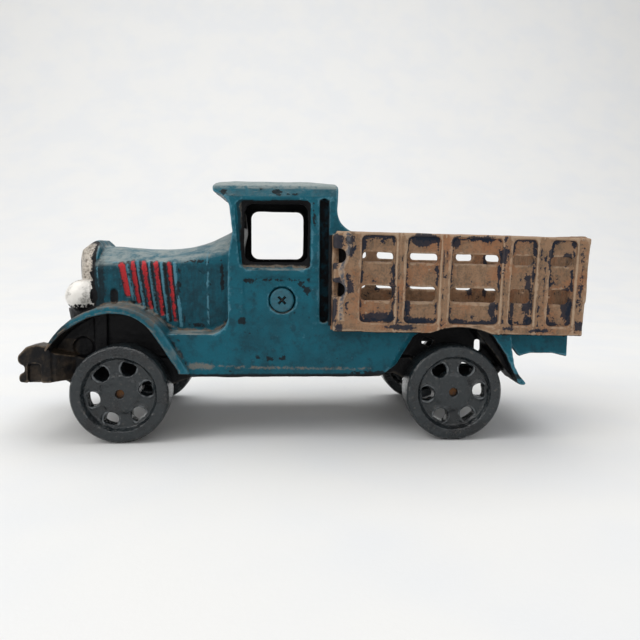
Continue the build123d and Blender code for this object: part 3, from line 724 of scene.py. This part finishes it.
def casting_relief(half):
    """How far each vertex moves out: lumps, louvre ribs, the corner ridge and the post grooves."""
    points, x, z = half.points, half.x, half.z
    push = 0.20 * lumps(points, 9.0, (3.1, 0.4, 7.7)) + 0.10 * lumps(points, 3.2, (0.6, 5.2, 1.9))
    bores = np.min([np.hypot(x - axle_x, z - axle_z) for axle_x, axle_z in AXLES], axis=0)
    push *= np.clip(half.side / 1.5, 0, 1) * np.clip((bores - 2.5) / 2.0, 0, 1)
    push += 0.55 * rounded(half.rib, 1.0) * (half.on_hood > 0) * (half.facing_out > 0.3)
    push += 0.7 * rounded(half.ridge, 1.3) * half.on_side
    grooves = [
        np.abs(x - front - (back - front) * share)
        for front, back in zip(POST_FRONTS, POST_BACKS)
        for share in (0.40, 0.72)
    ]
    push -= 0.28 * np.clip(1 - np.min(grooves, axis=0) / 0.45, 0, 1) * half.on_post
    push += 0.22 * rounded(half.post_edge, 0.5) * half.on_post
    push += 0.30 * np.clip(half.line / 0.35, 0, 1) * (half.on_hood > 0) * half.facing_out
    return push


def bed_distances(half):
    x, z, side = half.x, half.z, half.side
    bed_under = 38.3 - (x - 10) * 0.021
    behind_cab = np.maximum(side - 29.7, x - 18.2)
    bruise = np.maximum(0.4 - half.ridge, patches(x, z, BED_BRUISES))
    return {
        "bed": np.minimum.reduce([x - 10.3, z - bed_under, behind_cab]),
        "bruise": np.minimum(bruise, (side - 34.0) * 2),
        "ridge": np.minimum(0.8 - half.ridge, side - 33),
        "post_highlight_line": np.minimum(0.45 - half.post_edge, half.on_post - 0.4),
    }


def hood_distances(half):
    x, z, side, on_hood = half.x, half.z, half.side, half.on_hood
    taper = 0.62 + 0.40 * np.clip((z - 42.0) / 18.0, 0, 1)
    strokes = [stroke_distance(x, z, a, b) - width * taper for a, b, width in LOUVRE_STROKES]
    gaps = [stroke_distance(x - GAP_SHIFT, z, a, b) for a, b, _ in LOUVRE_STROKES[1:]]
    across, up = ((x - SIDE_HOLE[0]) / SIDE_HOLE_HALF_SIZE[0], (z - SIDE_HOLE[1]) / SIDE_HOLE_HALF_SIZE[1])
    side_hole = 1.6 - 1.6 * np.hypot(across, up)
    return {
        "red": np.minimum(-np.min(strokes, axis=0), on_hood),
        "rib": np.minimum(0.75 - half.rib, on_hood),
        # painted shadow goes in the louvre gaps and the side hole
        "gap_shadow": np.minimum(np.maximum(0.55 - np.min(gaps, axis=0), side_hole), on_hood),
        "line": np.minimum(half.line, on_hood),
        "shade": np.minimum.reduce([on_hood, x + 78.0, -25.8 - x, z - 37.8, 61.0 - z]),
        "nose": np.minimum.reduce([on_hood, x + 77.0, -69.6 - x, z - 44.0, 62.5 - z]),
    }


def silver_distances(half):
    x, z, side = half.x, half.z, half.side
    lamp_x, lamp_side, lamp_z = LAMP_PLACE
    lamp = LAMP_RADIUS - np.sqrt((x - lamp_x) ** 2 + (side - lamp_side) ** 2 + (z - lamp_z) ** 2)
    face = LAMP_FACE_RADIUS - np.hypot(x - LAMP_FACE[0], z - LAMP_FACE[1])
    lamp = np.minimum.reduce([lamp, side - 15.6, face]) * 1.5
    lamp = np.where(lamp < 0, lamp * 0.55, lamp)
    shell = np.minimum.reduce([-74.6 - x, z - 45.4, 24.0 - side, 67.6 - z, side - 9.6])
    return {"silver": np.maximum(lamp, shell)}


def window_distances(half):
    x, z, side, outward = half.x, half.z, half.side, half.outward
    return {
        "window": np.minimum(inside_distance(x, z, WINDOW_SURROUND), side - 24.0),
        "opening": inside_distance(x, z, WINDOW_OPENING),
        "reveal": 1 - np.abs(outward[:, 1]),
        "roof_rim": np.minimum(z - 86.6 - (30 - side) * 0.06, outward[:, 2] - 0.25),
    }


def fender_distances(half):
    x, z, side = half.x, half.z, half.side
    from_arch = -inside_distance(x, z, FRONT_ARCH)
    fender = np.minimum.reduce([from_arch, 3.9 - from_arch, side - 24.0, x + 88.5, -38.5 - x])
    dirt = [half_width - path_distance(x, z, path) for path, half_width in DIRT_LINES]
    return {
        "fender": fender,
        "crest": np.minimum.reduce([from_arch - 1.6, 3.6 - from_arch, fender + 0.3, -50.0 - x]),
        "rim": np.minimum(0.35 - np.abs(from_arch - 0.55), fender + 0.6),
        "dirt": np.max(dirt, axis=0),
        "bottom": np.minimum(0.9 - np.abs(z - 21.9), side - 28.0),
        "chips": np.minimum(patches(x, z, CHIPS), side - 20),
    }


def dark_distances(half):
    x, z, side = half.x, half.z, half.side
    front_well = inside_distance(x, z, FRONT_ARCH) + 0.1
    rear_well = inside_distance(x, z, REAR_ARCH) + 0.1
    frame_rails = np.minimum(26.0 - side, 28.0 - z)
    under = np.minimum(-half.outward[:, 2] - 0.6, 40.5 - z) * 2
    nose_low = np.minimum(-83.0 - x, 33.5 - z)
    ledge = np.minimum.reduce([-74.6 - x, 44.6 - z, 22.0 - side])
    groove = np.minimum.reduce([x - 6.5, 9.8 - x, z - 41.0, 83.0 - z, side - 24.0])
    strip = np.minimum.reduce([x - 9.4, 18.4 - x, z - 39.5, 71.0 - z, side - 24.0, 30.6 - side])
    sill = np.minimum.reduce([22.3 - z, x + 36.0, 34.0 - x])
    cab_inside = np.minimum.reduce([25.9 - side, x + 22.9, 9.6 - x, 86.4 - z, z - 20.0])
    dark = np.maximum.reduce([
        front_well, rear_well, frame_rails, under, nose_low, ledge, groove, strip, sill, cab_inside,
    ])
    return {"dark": dark, "groove": groove, "front": np.minimum(-79.0 - x, 34.0 - z)}


def dress_casting(piece, tree):
    """Casting relief, and the distances that the paint reads."""
    mesh = piece.data
    half = Half(mesh)
    place(mesh, half.points + half.outward * casting_relief(half)[:, None])
    keep_values(mesh, "edge", swelling(mesh, CASTING_EDGE_ROUNDS))
    keep_values(mesh, "free", smoothed(mesh, openness(mesh, tree, RAYS, RAY_REACH), RAY_ROUNDS))
    keep_values(mesh, "up", normals(mesh)[:, 2])
    for distances in (
        bed_distances, hood_distances, silver_distances, window_distances, fender_distances,
        dark_distances,
    ):
        for name, values in distances(half).items():
            keep_values(mesh, name, values)


def dress_wheel(piece, number, turn):
    """Casting lumps and raised lips round the holes, which start at the given angle."""
    mesh = piece.data
    points = positions(mesh).astype(np.float64)
    middle = (points.max(0) + points.min(0)) / 2
    across = points[:, 0] - middle[0]
    height = points[:, 2] - middle[2]
    radius = np.hypot(across, height)
    push = 0.22 * lumps(points, 4.0, (number, 1.7, 2.3)) + 0.10 * lumps(points, 1.5, (2.1, number, 0.3))
    push *= np.clip((radius - 2.0) / 2.0, 0, 1) * np.clip((16.9 - radius) / 1.5, 0.25, 1)
    from_holes = [
        np.hypot(across - HOLE_CIRCLE * math.cos(angle), height - HOLE_CIRCLE * math.sin(angle))
        for angle in np.radians([turn + 60 * hole for hole in range(6)])
    ]
    from_lip = np.abs(np.min(from_holes, axis=0) - HOLE_LIP_RADIUS)
    lip = np.clip(1 - from_lip / 0.8, 0, 1) * (np.abs(points[:, 1]) > 33)
    lip *= 0.55 + 0.45 * lumps(points, 2.2, (number, 6.1, 4.4))
    outer_face = np.clip(normals(mesh)[:, 1] * np.sign(middle[1]), 0, 1) ** 2
    push += 0.70 * lip * outer_face
    place(mesh, points + normals(mesh) * push[:, None])
    keep_values(mesh, "edge", swelling(mesh, WHEEL_EDGE_ROUNDS))


def tree_of(*nodes):
    corners, faces = [], []
    for node in nodes:
        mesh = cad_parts[node].data
        start = len(corners)
        corners += [vertex.co.copy() for vertex in mesh.vertices]
        faces += [[start + index for index in polygon.vertices] for polygon in mesh.polygons]
    return BVHTree.FromPolygons(corners, faces)


halves_tree = tree_of("left_body_half", "right_body_half")
casting_material = casting_paint()
wheel_material = wheel_paint()

for hand in ("left", "right"):
    node = f"{hand}_body_half"
    casting = soft_copy(f"{hand}_casting", node, CASTING_VOXEL, CASTING_ROUNDING, CASTING_FACES)
    dress_casting(casting, halves_tree)
    casting.data.materials.append(casting_material)
    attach(casting, "truck_body")
    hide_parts(node)

for number, (end, hand, turn) in enumerate((
    ("front", "left", 11), ("front", "right", 35), ("rear", "left", 3), ("rear", "right", 12),
), start=1):
    node = f"{end}_{hand}_wheel"
    wheel = soft_copy(f"{end}_{hand}_cast_wheel", node, WHEEL_VOXEL, WHEEL_ROUNDING, WHEEL_FACES)
    dress_wheel(wheel, number, turn)
    wheel.data.materials.append(wheel_material)
    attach(wheel, f"{end}_wheelset")
    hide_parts(node)

steel = steel_paint("rusty_axle_steel", AXLE_STEEL, 0.22)
for node, material in (
    ("front_axle", steel),
    ("rear_axle", steel),
    ("cab_nut", steel_paint("dull_nut_steel", NUT_STEEL, 0.05)),
    ("cab_screw", screw_paint()),
):
    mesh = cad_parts[node].data
    mesh.materials.clear()
    mesh.materials.append(material)


# ---------------------------------------------------------------- floor, light and camera

def sweep():
    """A pale floor that curves up into a backdrop, in metres."""
    front, bend, radius, top, half_width = -0.9, 0.35, 0.9, 2.2, 2.2
    profile = [(front, 0.0), (bend, 0.0)]
    for step in range(1, 13):
        angle = math.radians(step * 7.5)
        profile.append((bend + radius * math.sin(angle), radius * (1 - math.cos(angle))))
    profile.append((bend + radius, top))
    corners = [(x, y, z) for y, z in profile for x in (-half_width, half_width)]
    faces = [(2 * row, 2 * row + 1, 2 * row + 3, 2 * row + 2) for row in range(len(profile) - 1)]
    mesh = bpy.data.meshes.new("sweep")
    mesh.from_pydata(corners, [], faces)
    mesh.shade_smooth()
    floor = bpy.data.objects.new("sweep", mesh)
    bpy.context.scene.collection.objects.link(floor)
    paint = Paint("pale_sweep", FLOOR_PALE)
    paint.coat(FLOOR_COOL, paint.noise(60, 2).rise(0.35, 0.70))
    mesh.materials.append(paint.finish(0.7, 0.0, [(paint.noise(1.2, 2), 0.05)], specular=0.3))


def soft_light(name, place_m, target_m, size, power, tint=(1, 1, 1)):
    """A soft box: an area light of this size in metres and power in watts."""
    lamp = bpy.data.lights.new(name, "AREA")
    lamp.shape = "RECTANGLE"
    lamp.size, lamp.size_y = size
    lamp.energy = power
    lamp.color = tint
    holder = bpy.data.objects.new(name, lamp)
    holder.location = place_m
    holder.rotation_euler = (Vector(target_m) - Vector(place_m)).to_track_quat("-Z", "Y").to_euler()
    bpy.context.scene.collection.objects.link(holder)


sweep()
soft_light("window", (-0.85, -0.45, 0.80), (0, 0, 0.03), (0.8, 0.8), 5.0, (1.0, 0.99, 0.97))
soft_light("overhead", (0.0, 0.30, 1.2), (0, 0.1, 0), (1.6, 1.2), 11.0)
soft_light("low_front", (0.2, -1.2, 0.50), (0, 0, 0.0), (1.2, 0.5), 2.6)

world = bpy.data.worlds.new("studio")
world.use_nodes = True
background = world.node_tree.nodes["Background"]
background.inputs["Color"].default_value = (1.0, 1.0, 1.0, 1)
background.inputs["Strength"].default_value = 0.45
bpy.context.scene.world = world
bpy.context.scene.view_settings.view_transform = "Standard"

CAMERA_PLACE = (-6.40, -254.93, 66.90)
YAW, PITCH, ROLL = (math.radians(angle) for angle in (3.320, 6.413, 0.376))
forward = Vector((math.sin(YAW) * math.cos(PITCH), math.cos(YAW) * math.cos(PITCH), -math.sin(PITCH)))
level = Vector((math.cos(YAW), -math.sin(YAW), 0))
upright = level.cross(forward)
right = math.cos(ROLL) * level + math.sin(ROLL) * upright
above = -math.sin(ROLL) * level + math.cos(ROLL) * upright
camera = bpy.data.objects.new("camera", bpy.data.cameras.new("camera"))
camera.data.lens = 36 * 650 / 640
camera.data.sensor_width = 36
camera.data.clip_start = 0.01
camera.matrix_world = (
    Matrix.Translation(Vector(CAMERA_PLACE) * MM)
    @ Matrix((right, above, -forward)).transposed().to_4x4()
)
bpy.context.scene.collection.objects.link(camera)
bpy.context.scene.camera = camera
